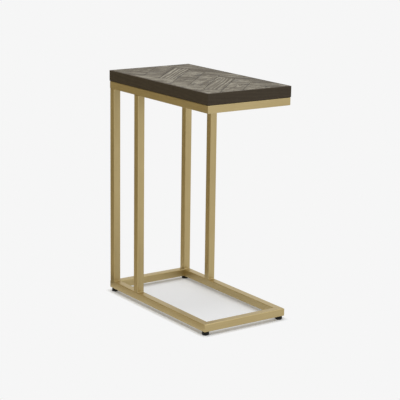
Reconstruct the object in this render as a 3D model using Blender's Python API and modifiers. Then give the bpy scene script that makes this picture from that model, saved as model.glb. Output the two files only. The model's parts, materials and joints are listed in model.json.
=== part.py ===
"""A C-shaped sofa table: a herringbone oak top on a welded frame of square tube.

Metres, +Z up. The origin is on the floor under the middle of the table. +X points to the open
end that slides over a sofa's seat, and the four uprights stand near the -X end. Left is -Y, as
seen when facing the open end.
"""

import math

import bmesh
import bpy
from mathutils import Matrix

# Overall size
HEIGHT = 0.600
TOP_LENGTH = 0.450
TOP_DEPTH = 0.250
TOP_THICKNESS = 0.028
TOP_OVERHANG = 0.0015
GAP = 0.0003

# Square tube of the frame
TUBE_SIDE = 0.020
TUBE_WALL = 0.0015
TUBE_RADIUS = 0.002
BORE_RADIUS = 0.0008
INNER_UPRIGHT_SETBACK = 0.120

# Levelling feet: a rivet nut in the base, a threaded stud and a moulded pad
PAD_HEIGHT = 0.0077
PAD_RADIUS = 0.009
PAD_EDGE = 0.002
PAD_CHAMFER = 0.0008
PAD_FLOOR = 0.0025
STUD_RADIUS = 0.003
STUD_HEAD_RADIUS = 0.0051
STUD_HEAD_HEIGHT = 0.0024
STUD_TIP = 0.0007
STUD_HEADROOM = 0.0038
INSERT_RADIUS = 0.0045
INSERT_LENGTH = 0.013
INSERT_FLANGE_RADIUS = 0.0065
INSERT_FLANGE = 0.0007

# Layers and edges of the top
BALANCE_THICKNESS = 0.0008
FACE_THICKNESS = 0.0025
LIPPING_WIDTH = 0.006
LIPPING_EASE = 0.0012
LIPPING_CORNER = 0.002

# Herringbone strips of the face
STRIP_WIDTH = 0.047
STRIP_RATIO = 4
STRIP_HEIGHT = 0.0012
STRIP_JOINT = 0.0004
STRIP_EASE = 0.0003
STRIP_SINK = 0.0002
PATTERN_X = -0.0245
PATTERN_Y = -0.009

# Tabs and screws that hold the top down
TAB_LENGTH = 0.030
TAB_REACH = 0.020
TAB_THICKNESS = 0.003
TAB_SETBACK = 0.090
SCREW_RADIUS = 0.002
SCREW_BITE = 0.016
SCREW_POINT = 0.004
SCREW_HEAD_RADIUS = 0.004
SCREW_HEAD_HEIGHT = 0.0026
SCREW_HEAD_CROWN = 0.0012

# Facets of a full turn, and of a quarter turn on small round edges
ROUND_STEPS = 24
EDGE_STEPS = 3

# Heights and places that follow from the sizes above
frame_length = TOP_LENGTH - 2 * TOP_OVERHANG
frame_depth = TOP_DEPTH - 2 * TOP_OVERHANG
rail_x = (frame_length - TUBE_SIDE) / 2
rail_y = (frame_depth - TUBE_SIDE) / 2
flange_bottom = PAD_HEIGHT + GAP
flange_top = flange_bottom + INSERT_FLANGE
base_bottom = flange_top + GAP
base_top = base_bottom + TUBE_SIDE
top_bottom = HEIGHT - TOP_THICKNESS
ring_top = top_bottom - GAP
ring_bottom = ring_top - TUBE_SIDE
core_length = TOP_LENGTH - 2 * (LIPPING_WIDTH + GAP)
core_depth = TOP_DEPTH - 2 * (LIPPING_WIDTH + GAP)
core_bottom = top_bottom + BALANCE_THICKNESS + GAP
core_top = HEIGHT - FACE_THICKNESS - GAP
mitre_gap = GAP / math.sqrt(2)
ENDS = {"front": 1, "rear": -1}
SIDES = {"left": -1, "right": 1}

for old in list(bpy.data.objects):
    bpy.data.objects.remove(old)
parts = bpy.data.collections.new("sofa_table")
cutters = bpy.data.collections.new("sofa_table_cutters")
bpy.context.scene.collection.children.link(parts)
bpy.context.scene.collection.children.link(cutters)


def material(name, colour, metallic, roughness):
    """A Principled material of one colour."""
    made = bpy.data.materials.new(name)
    made.use_nodes = True
    shader = made.node_tree.nodes["Principled BSDF"]
    shader.inputs["Base Color"].default_value = (*colour, 1)
    shader.inputs["Metallic"].default_value = metallic
    shader.inputs["Roughness"].default_value = roughness
    return made


satin_gold = material("satin_gold", (0.52, 0.41, 0.21), 1.0, 0.35)
zinc_steel = material("zinc_steel", (0.55, 0.55, 0.53), 1.0, 0.4)
black_nylon = material("black_nylon", (0.012, 0.012, 0.012), 0.0, 0.5)
face_oak = material("face_oak", (0.16, 0.125, 0.09), 0.0, 0.45)
edge_oak = material("edge_oak", (0.055, 0.038, 0.024), 0.0, 0.5)
core_board = material("core_board", (0.30, 0.22, 0.14), 0.0, 0.8)


def add(name, mesh, finish, location=(0, 0, 0), turn=None):
    """A part made of this mesh, with its place and turn on the object."""
    part = bpy.data.objects.new(name, mesh)
    mesh.materials.append(finish)
    part.matrix_world = Matrix.Translation(location) @ (turn or Matrix.Identity(4))
    parts.objects.link(part)
    return part


def add_cutter(name, mesh, location=(0, 0, 0)):
    """A shape that only cuts or feeds others, kept out of the finished table."""
    cutter = bpy.data.objects.new(name, mesh)
    cutter.location = location
    cutter.hide_render = True
    cutter.display_type = "WIRE"
    cutters.objects.link(cutter)
    return cutter


def combine(part, other, operation):
    """A Boolean of the part with another object."""
    boolean = part.modifiers.new(other.name, "BOOLEAN")
    boolean.object = other
    boolean.operation = operation
    boolean.solver = "EXACT"


def mesh_from(name, shape):
    """The bmesh as a mesh, with its normals pointing out."""
    bmesh.ops.recalc_face_normals(shape, faces=shape.faces)
    mesh = bpy.data.meshes.new(name)
    shape.to_mesh(mesh)
    shape.free()
    return mesh


def box(name, length, depth, bottom, top):
    """A box centred on the Z axis between two heights."""
    shape = bmesh.new()
    size = Matrix.Diagonal((length, depth, top - bottom, 1))
    place = Matrix.Translation((0, 0, (bottom + top) / 2))
    bmesh.ops.create_cube(shape, size=1, matrix=place @ size)
    return mesh_from(name, shape)


def rod(name, radius, bottom, top):
    """A round bar on the Z axis between two heights."""
    shape = bmesh.new()
    bmesh.ops.create_cone(
        shape,
        cap_ends=True,
        segments=ROUND_STEPS,
        radius1=radius,
        radius2=radius,
        depth=top - bottom,
        matrix=Matrix.Translation((0, 0, (bottom + top) / 2)),
    )
    return mesh_from(name, shape)


def arc(x, y, radius, start, end):
    """Points of an arc about (x, y) between two angles in degrees."""
    angles = [math.radians(start + (end - start) * step / EDGE_STEPS) for step in range(EDGE_STEPS + 1)]
    return [(x + radius * math.cos(angle), y + radius * math.sin(angle)) for angle in angles]


def extruded(outlines, length):
    """Flat outlines, the second of two being a hole, extruded along Z about the origin.

    The result is a bmesh, so that its ends can still be cut.
    """
    flat = bpy.data.curves.new("outline", "CURVE")
    flat.dimensions = "2D"
    flat.fill_mode = "BOTH"
    flat.extrude = length / 2
    for outline in outlines:
        spline = flat.splines.new("POLY")
        spline.points.add(len(outline) - 1)
        for point, (x, y) in zip(spline.points, outline):
            point.co = (x, y, 0, 1)
        spline.use_cyclic_u = True
    guide = bpy.data.objects.new("outline", flat)
    bpy.context.scene.collection.objects.link(guide)
    graph = bpy.context.evaluated_depsgraph_get()
    mesh = bpy.data.meshes.new_from_object(guide.evaluated_get(graph))
    bpy.data.objects.remove(guide)
    shape = bmesh.new()
    shape.from_mesh(mesh)
    bpy.data.meshes.remove(mesh)
    bmesh.ops.remove_doubles(shape, verts=shape.verts, dist=0.00001)
    return shape


def add_turned(name, profile, finish, location, ring=False):
    """A part turned about Z from (radius, height) points that run down its outer side.

    A ring's profile is a closed loop, and another profile starts and ends on the axis.
    """
    mesh = bpy.data.meshes.new(name)
    edges = [(i, i + 1) for i in range(len(profile) - 1)]
    if ring:
        edges.append((len(profile) - 1, 0))
    mesh.from_pydata([(radius, 0, height) for radius, height in profile], edges, [])
    part = add(name, mesh, finish, location)
    screw = part.modifiers.new("turn", "SCREW")
    screw.steps = ROUND_STEPS
    screw.render_steps = ROUND_STEPS
    screw.use_merge_vertices = True
    screw.merge_threshold = 0.00001
    return part


def round_the_table(pieces):
    """Places four pieces made along X with +Y outwards: name, mesh, finish, distance out and height."""
    turns = {"right": 0, "front": -math.pi / 2, "left": math.pi, "rear": math.pi / 2}
    placed = []
    for name, mesh, finish, distance, height in pieces:
        turn = Matrix.Rotation(turns[name.rsplit("_", 1)[1]], 4, "Z")
        outwards = turn.to_3x3().col[1] * distance
        placed.append(add(name, mesh, finish, (outwards.x, outwards.y, height), turn))
    return placed


# Tube: two rounded squares extruded, the ends square or mitred
def rounded_rectangle(length, depth, radius):
    """A rectangular outline whose corners are arcs."""
    points = []
    for quarter, (x, y) in enumerate(((1, 1), (-1, 1), (-1, -1), (1, -1))):
        middle = (x * (length / 2 - radius), y * (depth / 2 - radius))
        points += arc(*middle, radius, 90 * quarter, 90 * quarter + 90)
    return points


def mitre(shape, width):
    """Cuts both ends at 45 degrees: the length stays on the +Y side and is lost across to -Y."""
    for vertex in shape.verts:
        shortened = width / 2 - vertex.co.y + mitre_gap
        vertex.co.z -= math.copysign(shortened, vertex.co.z)


def mesh_along_x(name, shape):
    """The mesh of a shape that was extruded along Z, laid along X with +Y kept."""
    bmesh.ops.transform(shape, matrix=Matrix.Rotation(math.pi / 2, 4, "Y"), verts=shape.verts)
    return mesh_from(name, shape)


def square_tube(name, length, mitred):
    """A hollow square tube along X."""
    bore = TUBE_SIDE - 2 * TUBE_WALL
    outside = rounded_rectangle(TUBE_SIDE, TUBE_SIDE, TUBE_RADIUS)
    shape = extruded((outside, rounded_rectangle(bore, bore, BORE_RADIUS)), length)
    if mitred:
        mitre(shape, TUBE_SIDE)
    return mesh_along_x(name, shape)


# Base ring and top ring: four mitred rails each, welded at the corners
def ring_of_rails(prefix, bottom):
    """Four mitred rails round the frame, each with its longer side outwards."""
    pieces = []
    for place in (*SIDES, *ENDS):
        name = f"{prefix}_rail_{place}"
        length, distance = (frame_length, rail_y) if place in SIDES else (frame_depth, rail_x)
        tube = square_tube(name, length, mitred=True)
        pieces.append((name, tube, satin_gold, distance, bottom + TUBE_SIDE / 2))
    return round_the_table(pieces)


base_rails = ring_of_rails("base", base_bottom)
ring_of_rails("top", ring_bottom)


# Uprights: two at the rear corners and two set forward along the long sides
upright_length = ring_bottom - base_top - 2 * GAP
upright_middle = (ring_bottom + base_top) / 2
inner_x = INNER_UPRIGHT_SETBACK - TOP_LENGTH / 2 + TUBE_SIDE / 2
for row, x in (("rear", -rail_x), ("inner", inner_x)):
    for side, sign in SIDES.items():
        name = f"upright_{row}_{side}"
        tube = square_tube(name, upright_length, mitred=False)
        standing = Matrix.Rotation(-math.pi / 2, 4, "Y")
        add(name, tube, satin_gold, (x, sign * rail_y, upright_middle), standing)


# Feet: a rivet nut through each base corner, and a stud whose head is moulded into a pad
head_bottom = PAD_FLOOR + GAP
head_top = head_bottom + STUD_HEAD_HEIGHT
stud_top = base_top - TUBE_WALL - STUD_HEADROOM
thread_bore = STUD_RADIUS + GAP
stud_profile = [
    (0, stud_top),
    (STUD_RADIUS - STUD_TIP, stud_top),
    (STUD_RADIUS, stud_top - STUD_TIP),
    (STUD_RADIUS, head_top),
    (STUD_HEAD_RADIUS, head_top),
    (STUD_HEAD_RADIUS, head_bottom),
    (0, head_bottom),
]
pad_profile = [
    (0, PAD_FLOOR),
    (STUD_HEAD_RADIUS + GAP, PAD_FLOOR),
    (STUD_HEAD_RADIUS + GAP, head_top + GAP),
    (thread_bore, head_top + GAP),
    (thread_bore, PAD_HEIGHT),
    (PAD_RADIUS - PAD_CHAMFER, PAD_HEIGHT),
    (PAD_RADIUS, PAD_HEIGHT - PAD_CHAMFER),
    *arc(PAD_RADIUS - PAD_EDGE, PAD_EDGE, PAD_EDGE, 0, -90),
    (0, 0),
]
insert_profile = [
    (thread_bore, flange_bottom + INSERT_LENGTH),
    (INSERT_RADIUS, flange_bottom + INSERT_LENGTH),
    (INSERT_RADIUS, flange_top),
    (INSERT_FLANGE_RADIUS, flange_top),
    (INSERT_FLANGE_RADIUS, flange_bottom),
    (thread_bore, flange_bottom),
]
for end, along in ENDS.items():
    for side, across in SIDES.items():
        corner = (along * rail_x, across * rail_y, 0)
        hole = rod("insert_hole", INSERT_RADIUS + GAP, flange_top, base_bottom + 2 * TUBE_WALL)
        cutter = add_cutter(f"insert_hole_{end}_{side}", hole, corner)
        for rail in base_rails:
            if rail.name.endswith((end, side)):
                combine(rail, cutter, "DIFFERENCE")
        add_turned(f"foot_insert_{end}_{side}", insert_profile, zinc_steel, corner, ring=True)
        add_turned(f"foot_stud_{end}_{side}", stud_profile, zinc_steel, corner)
        add_turned(f"foot_pad_{end}_{side}", pad_profile, black_nylon, corner)


# Core board, and the balancing veneer under it
core = add("top_core", box("top_core", core_length, core_depth, core_bottom, core_top), core_board)
balance_top = top_bottom + BALANCE_THICKNESS
balance_sheet = box("balancing_veneer", core_length, core_depth, top_bottom, balance_top)
balance = add("balancing_veneer", balance_sheet, edge_oak)


# Tabs welded inside the top ring, and the screws that pull the top down onto it
tab_x = frame_length / 2 - TAB_SETBACK
tab_y = rail_y - TUBE_SIDE / 2 - GAP - TAB_REACH / 2
tab_bottom = ring_top - TAB_THICKNESS
head_seat = tab_bottom - GAP
screw_bottom = head_seat - SCREW_HEAD_HEIGHT
screw_tip = core_bottom + SCREW_BITE
screw_profile = [
    (0, screw_tip),
    (SCREW_RADIUS, screw_tip - SCREW_POINT),
    (SCREW_RADIUS, head_seat),
    (SCREW_HEAD_RADIUS, head_seat),
    (SCREW_HEAD_RADIUS, screw_bottom + SCREW_HEAD_CROWN),
    (SCREW_HEAD_RADIUS - SCREW_HEAD_CROWN, screw_bottom),
    (0, screw_bottom),
]
for end, along in ENDS.items():
    for side, across in SIDES.items():
        place = (along * tab_x, across * tab_y, 0)
        hole = rod("screw_hole", SCREW_RADIUS + GAP, head_seat, screw_tip + GAP)
        cutter = add_cutter(f"screw_hole_{end}_{side}", hole, place)
        name = f"mounting_tab_{end}_{side}"
        tab = add(name, box(name, TAB_LENGTH, TAB_REACH, tab_bottom, ring_top), satin_gold, place)
        for drilled in (tab, balance, core):
            combine(drilled, cutter, "DIFFERENCE")
        add_turned(f"top_screw_{end}_{side}", screw_profile, zinc_steel, place)


# Lipping: four mitred oak edges round the core, eased outside and rounded at the top's corners
def lipping(name, length):
    """An edge strip along X, its section a rectangle with arcs on the two outer edges."""
    outer = LIPPING_WIDTH / 2
    half_height = TOP_THICKNESS / 2
    eased_x = half_height - LIPPING_EASE
    eased_y = outer - LIPPING_EASE
    section = [(-half_height, -outer), (half_height, -outer)]
    section += arc(eased_x, eased_y, LIPPING_EASE, 0, 90)
    section += arc(-eased_x, eased_y, LIPPING_EASE, 90, 180)
    shape = extruded((section,), length)
    mitre(shape, LIPPING_WIDTH)
    return mesh_along_x(name, shape)


lippings = []
for place in (*SIDES, *ENDS):
    name = f"lipping_{place}"
    length, width = (TOP_LENGTH, TOP_DEPTH) if place in SIDES else (TOP_DEPTH, TOP_LENGTH)
    distance = (width - LIPPING_WIDTH) / 2
    lippings.append((name, lipping(name, length), edge_oak, distance, HEIGHT - TOP_THICKNESS / 2))
top_outline = rounded_rectangle(TOP_LENGTH, TOP_DEPTH, LIPPING_CORNER)
top_block = mesh_from("top_outline", extruded((top_outline,), 2 * TOP_THICKNESS))
rounding = add_cutter("top_outline", top_block, (0, 0, HEIGHT - TOP_THICKNESS / 2))
for strip in round_the_table(lippings):
    combine(strip, rounding, "INTERSECT")


# Face veneer: herringbone strips at 45 degrees, laid up on one thin backing sheet
def herringbone_places():
    """Centre and angle of each strip that may reach the face.

    Strips in a row lie side by side at 45 degrees, so they repeat along X at their width times the
    root of two. The next row leans the other way, half a repeat along and a strip's length times
    the root of a half across, which lets each strip's end butt on the side of a strip there.
    """
    half_repeat = STRIP_WIDTH / math.sqrt(2)
    row_pitch = STRIP_RATIO * half_repeat
    rows = math.ceil((core_depth + TOP_DEPTH) / 2 / row_pitch)
    columns = math.ceil((core_length + TOP_LENGTH) / 4 / half_repeat)
    for row in range(-rows, rows + 1):
        lean = math.pi / 4 if row % 2 else -math.pi / 4
        y = PATTERN_Y + row * row_pitch
        for column in range(-columns, columns + 1):
            x = PATTERN_X + (2 * column + row % 2) * half_repeat
            reach = row_pitch / 2 + half_repeat / 2
            if abs(x) < core_length / 2 + reach and abs(y) < core_depth / 2 + reach:
                yield x, y, lean


strip_bottom = HEIGHT - STRIP_HEIGHT - STRIP_SINK
strip_shape = bmesh.new()
strip_size = Matrix.Diagonal(
    (STRIP_WIDTH * STRIP_RATIO - STRIP_JOINT, STRIP_WIDTH - STRIP_JOINT, HEIGHT - strip_bottom, 1)
)
for x, y, lean in herringbone_places():
    place = Matrix.Translation((x, y, (HEIGHT + strip_bottom) / 2)) @ Matrix.Rotation(lean, 4, "Z")
    bmesh.ops.create_cube(strip_shape, size=1, matrix=place @ strip_size)
upper = [e for e in strip_shape.edges if all(v.co.z > (HEIGHT + strip_bottom) / 2 for v in e.verts)]
bmesh.ops.bevel(strip_shape, geom=upper, offset=STRIP_EASE, segments=1, affect="EDGES")
strips = add_cutter("herringbone_strips", mesh_from("herringbone_strips", strip_shape))
field_length = core_length - 2 * STRIP_EASE
field_depth = core_depth - 2 * STRIP_EASE
field = box("herringbone_field", field_length, field_depth, strip_bottom - STRIP_HEIGHT, HEIGHT + STRIP_HEIGHT)
combine(strips, add_cutter("herringbone_field", field), "INTERSECT")
face_sheet = box("face_veneer", core_length, core_depth, HEIGHT - FACE_THICKNESS, HEIGHT - STRIP_HEIGHT)
face = add("face_veneer", face_sheet, face_oak)
combine(face, strips, "UNION")
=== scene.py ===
import json
import math

import bmesh
import bpy
import numpy as np
from mathutils import Matrix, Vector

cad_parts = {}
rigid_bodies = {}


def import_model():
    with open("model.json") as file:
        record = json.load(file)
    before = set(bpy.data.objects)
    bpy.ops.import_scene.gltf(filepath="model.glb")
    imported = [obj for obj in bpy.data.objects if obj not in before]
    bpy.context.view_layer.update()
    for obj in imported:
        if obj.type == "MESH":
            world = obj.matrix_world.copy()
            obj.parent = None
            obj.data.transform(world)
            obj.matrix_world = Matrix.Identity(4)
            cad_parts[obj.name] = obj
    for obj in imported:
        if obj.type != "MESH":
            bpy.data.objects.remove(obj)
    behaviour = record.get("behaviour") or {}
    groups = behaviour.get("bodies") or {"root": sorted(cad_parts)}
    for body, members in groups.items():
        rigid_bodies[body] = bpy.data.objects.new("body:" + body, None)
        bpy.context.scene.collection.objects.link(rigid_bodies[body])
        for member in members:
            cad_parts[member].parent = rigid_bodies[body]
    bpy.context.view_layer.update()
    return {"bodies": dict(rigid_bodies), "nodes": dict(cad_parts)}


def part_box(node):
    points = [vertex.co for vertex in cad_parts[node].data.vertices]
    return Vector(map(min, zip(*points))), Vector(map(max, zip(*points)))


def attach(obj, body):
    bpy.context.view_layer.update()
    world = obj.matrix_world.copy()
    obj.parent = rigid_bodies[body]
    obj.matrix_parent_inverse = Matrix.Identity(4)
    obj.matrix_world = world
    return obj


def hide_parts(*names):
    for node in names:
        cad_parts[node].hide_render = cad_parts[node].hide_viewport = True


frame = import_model()

# Base ring: four lengths of square steel tube, mitred, welded into a flat ring and plated in a satin
# champagne gold. The welds are ground flush, so no more than a hairline shows at each corner.
UP = np.array((0.0, 0.0, 1.0))
OUTWARDS = {"left": (0, -1, 0), "right": (0, 1, 0), "front": (1, 0, 0), "rear": (-1, 0, 0)}
TUBE_WALL = 0.0015
TUBE_RADIUS = 0.002
BORE_RADIUS = 0.0011
CORNER_HOLD = 0.1
MITRE_HAIRLINE = 0.00003
NUT_HOLE_RADIUS = 0.0048
NUT_HOLE_SIDES = 48
SHARP_EDGE = math.radians(38)
GOLD_DARK = (0.396, 0.300, 0.138)
GOLD_LIGHT = (0.522, 0.420, 0.218)
# Painted highlight on the tubes' rounded corners: its paler gold, how much of it shows, how much glossier
# the corners get, and how far round the rounding it reaches.
GOLD_EDGE_HIGHLIGHT = (0.58, 0.48, 0.26)
GOLD_ROUGHNESS = (0.32, 0.50)
GOLD_SCRATCH_DEPTH = 0.00002
EDGE_HIGHLIGHT_SHARE = 0.4
EDGE_GLOSS = 0.06
EDGE_HIGHLIGHT_REACH = 0.7
TUBE_GRAIN_STEP = 0.37
# Waves per metre along, across and through the brushing, and the range of its clouds.
BRUSH_WAVES = {"fine": (9, 5200, 5200), "broad": (5, 900, 900),
               "cloud": (14, 40, 40), "streak": (3, 260, 260)}
CLOUD_RANGE = (0.3, 0.7)


def box_round(*names):
    """Lowest and highest corner of a box round the nodes of these names."""
    boxes = np.array([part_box(name) for name in names])
    return boxes[:, 0].min(axis=0), boxes[:, 1].max(axis=0)


def box_of_sides(prefix):
    """The box round the four nodes that are named by this prefix and a side of the table."""
    return box_round(*(f"{prefix}_{place}" for place in OUTWARDS))


def node(tree, kind, inputs=None, **settings):
    """A shader node with its settings, and each listed input set to a value or linked from a socket."""
    made = tree.nodes.new("ShaderNode" + kind)
    for name, value in settings.items():
        setattr(made, name, value)
    for key, value in (inputs or {}).items():
        if isinstance(value, bpy.types.NodeSocket):
            tree.links.new(value, made.inputs[key])
        else:
            made.inputs[key].default_value = value
    return made


def maths(tree, operation, first, second=0.0, clamp=False):
    """The socket of a Math node on two values or sockets."""
    return node(tree, "Math", {0: first, 1: second}, operation=operation, use_clamp=clamp).outputs[0]


def vector_maths(tree, operation, first, second=(0, 0, 0)):
    """The socket of a Vector Math node on two vectors or sockets; a length comes out as a value."""
    made = node(tree, "VectorMath", {0: first, 1: second}, operation=operation)
    return made.outputs["Value" if operation == "LENGTH" else "Vector"]


def scaled(tree, value, share):
    """The socket of a value multiplied by a share."""
    return maths(tree, "MULTIPLY", value, share)


def summed(tree, first, *others):
    """The socket of a sum of values, each given with its share."""
    total = scaled(tree, *first)
    for part in others:
        total = maths(tree, "ADD", total, scaled(tree, *part))
    return total


def between(tree, value, low, high):
    """A socket that runs from low to high as the value runs from 0 to 1."""
    return node(tree, "MapRange", {"Value": value, "To Min": low, "To Max": high}).outputs[0]


def climb(tree, value, low, high, kind="LINEAR"):
    """A socket that runs from 0 to 1 as the value runs from low to high."""
    inputs = {"Value": value, "From Min": low, "From Max": high}
    return node(tree, "MapRange", inputs, interpolation_type=kind).outputs[0]


def blended(tree, factor, first, second):
    """The socket of a colour mix; a colour is a socket or three numbers."""
    pair = [part if isinstance(part, bpy.types.NodeSocket) else (*part, 1) for part in (first, second)]
    return node(tree, "Mix", {0: factor, 6: pair[0], 7: pair[1]}, data_type="RGBA").outputs[2]


def noise(tree, vector, waves, detail=2.0, roughness=0.5):
    """The value of a noise with so many waves per metre along each axis of the vector."""
    inputs = {"Vector": vector_maths(tree, "MULTIPLY", vector, waves), "Scale": 1.0, "Detail": detail,
              "Roughness": roughness}
    return node(tree, "TexNoise", inputs).outputs["Fac"]


def attribute(tree, name, socket="Fac"):
    """The socket of an attribute that the piece's own mesh carries."""
    return node(tree, "Attribute", attribute_name=name).outputs[socket]


def along_grain(tree):
    """The piece's own place along, across and through its grain."""
    return attribute(tree, "grain", "Vector")


def new_group(name, outputs):
    """An empty shader node group with one vector input and these value outputs."""
    group = bpy.data.node_groups.new(name, "ShaderNodeTree")
    group.interface.new_socket("Vector", in_out="INPUT", socket_type="NodeSocketVector")
    for output in outputs:
        group.interface.new_socket(output, in_out="OUTPUT", socket_type="NodeSocketFloat")
    vector = group.nodes.new("NodeGroupInput").outputs["Vector"]
    return group, vector, group.nodes.new("NodeGroupOutput")


def place_group(tree, group, vector):
    """The outputs of the group's node in a material, reading this vector."""
    made = node(tree, "Group", node_tree=group)
    tree.links.new(vector, made.inputs["Vector"])
    return made.outputs


def new_material(name):
    """A new material, its node tree and its Principled shader."""
    made = bpy.data.materials.new(name)
    made.use_nodes = True
    return made, made.node_tree, made.node_tree.nodes["Principled BSDF"]


def dress(tree, shader, colour, roughness, height, depth):
    """Links colour and roughness, and a bump whose height of 1 stands this many metres proud."""
    tree.links.new(colour, shader.inputs["Base Color"])
    tree.links.new(roughness, shader.inputs["Roughness"])
    bump = node(tree, "Bump", {"Strength": 1.0, "Distance": depth, "Height": height})
    tree.links.new(bump.outputs["Normal"], shader.inputs["Normal"])


def brushed_metal_group():
    """Fine scratches that run along X of the vector, streaks a few millimetres wide and broad clouds."""
    group, vector, output = new_group("brushing", ("Scratch", "Cloud"))
    fine = noise(group, vector, BRUSH_WAVES["fine"])
    broad = noise(group, vector, BRUSH_WAVES["broad"], detail=3)
    cloud = noise(group, vector, BRUSH_WAVES["cloud"], detail=3)
    streak = noise(group, vector, BRUSH_WAVES["streak"])
    group.links.new(summed(group, (fine, 0.55), (broad, 0.45)), output.inputs["Scratch"])
    both = summed(group, (cloud, 0.5), (streak, 0.5))
    group.links.new(climb(group, both, *CLOUD_RANGE), output.inputs["Cloud"])
    return group


def satin_gold_finish():
    """Champagne gold plating: brushed along the tube and faintly clouded, with a painted highlight that
    lightens its rounded corners and makes them a little glossier.
    """
    made, tree, shader = new_material("satin_champagne_gold")
    brushing = place_group(tree, brushing_group, along_grain(tree))
    edge = attribute(tree, "edge")
    tone = summed(tree, (brushing["Scratch"], 0.6), (brushing["Cloud"], 0.4))
    colour = blended(tree, tone, GOLD_DARK, GOLD_LIGHT)
    # Painted highlight: the rounded corners are blended towards a paler gold.
    colour = blended(tree, scaled(tree, edge, EDGE_HIGHLIGHT_SHARE), colour, GOLD_EDGE_HIGHLIGHT)
    roughness = between(tree, brushing["Scratch"], *GOLD_ROUGHNESS)
    roughness = maths(tree, "SUBTRACT", roughness, scaled(tree, edge, EDGE_GLOSS))
    shader.inputs["Metallic"].default_value = 1.0
    dress(tree, shader, colour, roughness, brushing["Scratch"], GOLD_SCRATCH_DEPTH)
    return made


brushing_group = brushed_metal_group()
satin_gold = satin_gold_finish()


def add_object(name, data):
    """A new object in the scene, at the origin."""
    made = bpy.data.objects.new(name, data)
    bpy.context.scene.collection.objects.link(made)
    return made


def mesh_of(name, points, faces):
    """A mesh of an array of points and a list of faces."""
    mesh = bpy.data.meshes.new(name)
    mesh.from_pydata(points.reshape(-1, 3).tolist(), [], faces)
    return mesh


def piece_from(name, mesh, finish):
    """An object of this mesh, shaded smooth but for its sharp edges, with its faces pointing out."""
    shape = bmesh.new()
    shape.from_mesh(mesh)
    bmesh.ops.recalc_face_normals(shape, faces=shape.faces)
    shape.to_mesh(mesh)
    shape.free()
    mesh.shade_smooth()
    mesh.set_sharp_from_angle(angle=SHARP_EDGE)
    mesh.materials.append(finish)
    return add_object(name, mesh)


def ring_quads(count, around, closed):
    """Corner numbers of the faces that join each ring of points to the next, point by point."""
    ring = np.arange(count if closed else count - 1)[:, None] * around
    point = np.arange(around)
    next_ring, next_point = (ring + around) % (count * around), (point + 1) % around
    corners = (ring + point, ring + next_point, next_ring + next_point, next_ring + point)
    return np.stack(corners, axis=-1).reshape(-1, 4)


def ring_ends(count, around):
    """Corner numbers of a flat face on the first ring and one on the last."""
    return np.arange(around) + np.array(((0,), (count - 1,))) * around


def skin(name, rings, finish, closed=False):
    """A closed surface: each ring of points is joined to the next ring, point by point.

    A closed skin joins its last ring to its first, and any other gets a flat face on each end ring.
    """
    count, around = rings.shape[:2]
    faces = ring_quads(count, around, closed).tolist()
    if not closed:
        faces += ring_ends(count, around).tolist()
    return piece_from(name, mesh_of(name, rings, faces), finish)


def points_of(piece):
    """The vertices of the piece's mesh as an array."""
    flat = np.empty(len(piece.data.vertices) * 3)
    piece.data.vertices.foreach_get("co", flat)
    return flat.reshape(-1, 3)


def carry(piece, name, values):
    """Gives each vertex of the piece a value or a vector, which its material reads by name."""
    kind, field = ("FLOAT_VECTOR", "vector") if values.ndim == 2 else ("FLOAT", "value")
    layer = piece.data.attributes.new(name, kind, "POINT")
    layer.data.foreach_set(field, values.astype(np.float32).ravel())


def rounded_loop(width, height, radius, steps=7):
    """Points round a rectangle: a quarter circle on each corner, with one point held close to either
    end of it, so that the flats between the corners shade flat."""
    hold = CORNER_HOLD * radius
    angle = np.radians(np.linspace(0, 90, steps + 1))
    quarter = radius * np.stack((np.cos(angle), np.sin(angle)), axis=-1)
    quarter = np.concatenate(([[radius, -hold]], quarter, [[-hold, radius]]))
    corner = np.array((width / 2 - radius, height / 2 - radius))
    first = quarter + corner
    second = quarter @ np.array(((0, 1), (-1, 0))) + corner * (-1, 1)
    return np.concatenate((first, second, -first, -second))


def square_tube(name, start, end, out, mitred):
    """A hollow tube of square section along a line: a rounded square outside and one inside.

    A point is the line's start plus a distance along it and its two places in the section. On a
    mitred tube the distance grows outwards at both ends by the place across the section.
    """
    span = end - start
    length = np.linalg.norm(span)
    along = span / length
    across = np.cross(along, out)
    bore = tube_side - 2 * TUBE_WALL
    outside = rounded_loop(tube_side, tube_side, TUBE_RADIUS)
    inside = rounded_loop(bore, bore, BORE_RADIUS)
    loops = np.stack((outside, outside, inside, inside))
    sign = np.array((-1, 1, 1, -1))[:, None]
    middle = np.array((0, length, length, 0))[:, None]
    distance = middle + sign * ((loops[..., 0] if mitred else 0) - MITRE_HAIRLINE)
    section = loops[..., :1] * out + loops[..., 1:] * across
    return skin(name, start + distance[..., None] * along + section, satin_gold, closed=True)


def grain_shift(step):
    """How far the grain of a new piece is shifted along: a step for each object that there is."""
    return len(bpy.data.objects) * step


def brush(piece, start, along, out):
    """Lays the brushing along the tube, and marks its rounded corners for the painted highlight from the
    places in its section.
    """
    across = np.cross(along, out)
    local = (points_of(piece) - start) @ np.stack((along, out, across), axis=-1)
    carry(piece, "grain", local + (grain_shift(TUBE_GRAIN_STEP), 0, 0))
    nearest = np.abs(local[:, 1:]).min(axis=1)
    flat_half = tube_side / 2 - TUBE_RADIUS
    carry(piece, "edge", np.clip((nearest - flat_half) / (EDGE_HIGHLIGHT_REACH * TUBE_RADIUS), 0, 1))


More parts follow.
